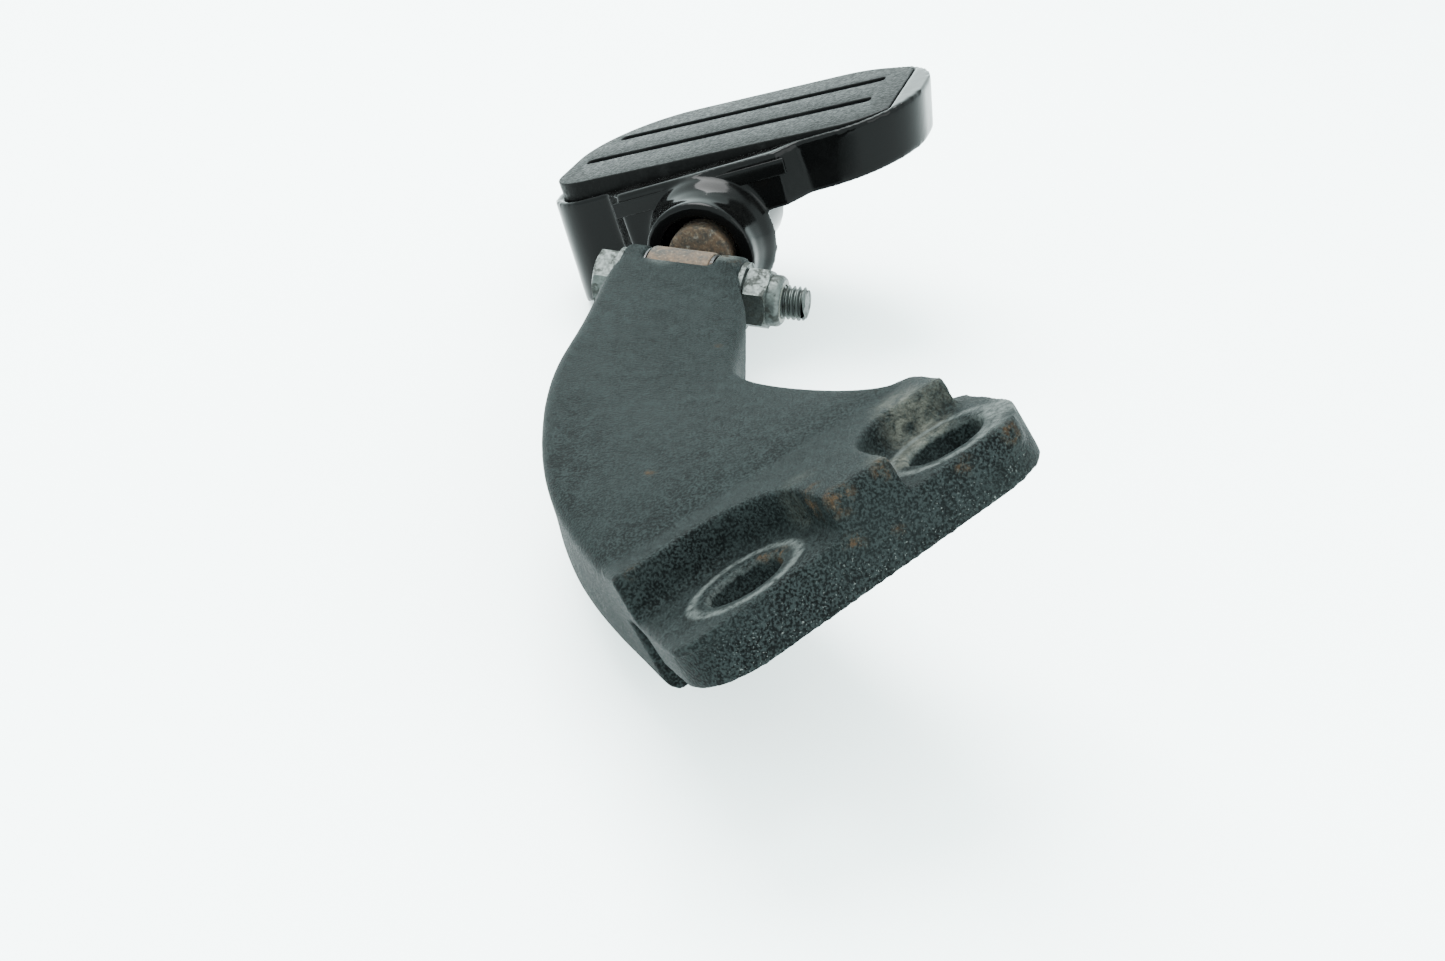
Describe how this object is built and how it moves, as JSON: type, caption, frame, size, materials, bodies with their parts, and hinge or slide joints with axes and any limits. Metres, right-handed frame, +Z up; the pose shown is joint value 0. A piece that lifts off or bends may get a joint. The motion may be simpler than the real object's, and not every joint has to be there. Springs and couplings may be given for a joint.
{
  "type": "motorcycle passenger foot peg",
  "caption": "Curved black steel bracket with a bolted flange, carrying a wide ribbed rubber foot board that folds up on a bolted hinge.",
  "frame": {"origin": "midway between the two mounting holes, on the flange's spot faces", "axes": "+X along the pivot bolt towards its nut, +Y out along the peg, +Z up with the foot board unfolded"},
  "size_m": [0.1422, 0.2332, 0.0673],
  "materials": {
    "black_powder_coat": "textured matt black powder coat over forged steel, chipped and lightly rusted",
    "zinc_plated_steel": "dull zinc plating",
    "nylon": "natural nylon",
    "spring_steel": "black oxide",
    "rusty_steel": "bare forged steel with surface rust",
    "bronze": "sintered bronze",
    "gloss_black_paint": "gloss black paint on an aluminium die casting",
    "black_rubber": "matt moulded rubber"
  },
  "bodies": {
    "bracket": {"mount_bracket": "black_powder_coat", "pivot_bolt": "zinc_plated_steel", "head_washer": "zinc_plated_steel", "nut_washer": "zinc_plated_steel", "pivot_nut": "zinc_plated_steel", "nut_insert": "nylon", "spring_washer": "spring_steel", "thrust_washer": "spring_steel"},
    "peg": {"hinge_tang": "rusty_steel", "pivot_bushing": "bronze", "foot_board": "gloss_black_paint", "rubber_pad": "black_rubber", "pad_plate": "zinc_plated_steel", "pad_screws": "zinc_plated_steel", "pad_washers": "zinc_plated_steel", "tang_lock_washer": "spring_steel", "tang_bolt": "zinc_plated_steel", "hub_grub_screw": "spring_steel"}
  },
  "joints": [
    {"name": "peg_fold", "type": "hinge", "parent": "bracket", "child": "peg", "pos_m": [-0.0663, 0.1199, -0.0254], "axis": [1, 0, 0], "range_deg": [0, 90]}
  ]
}
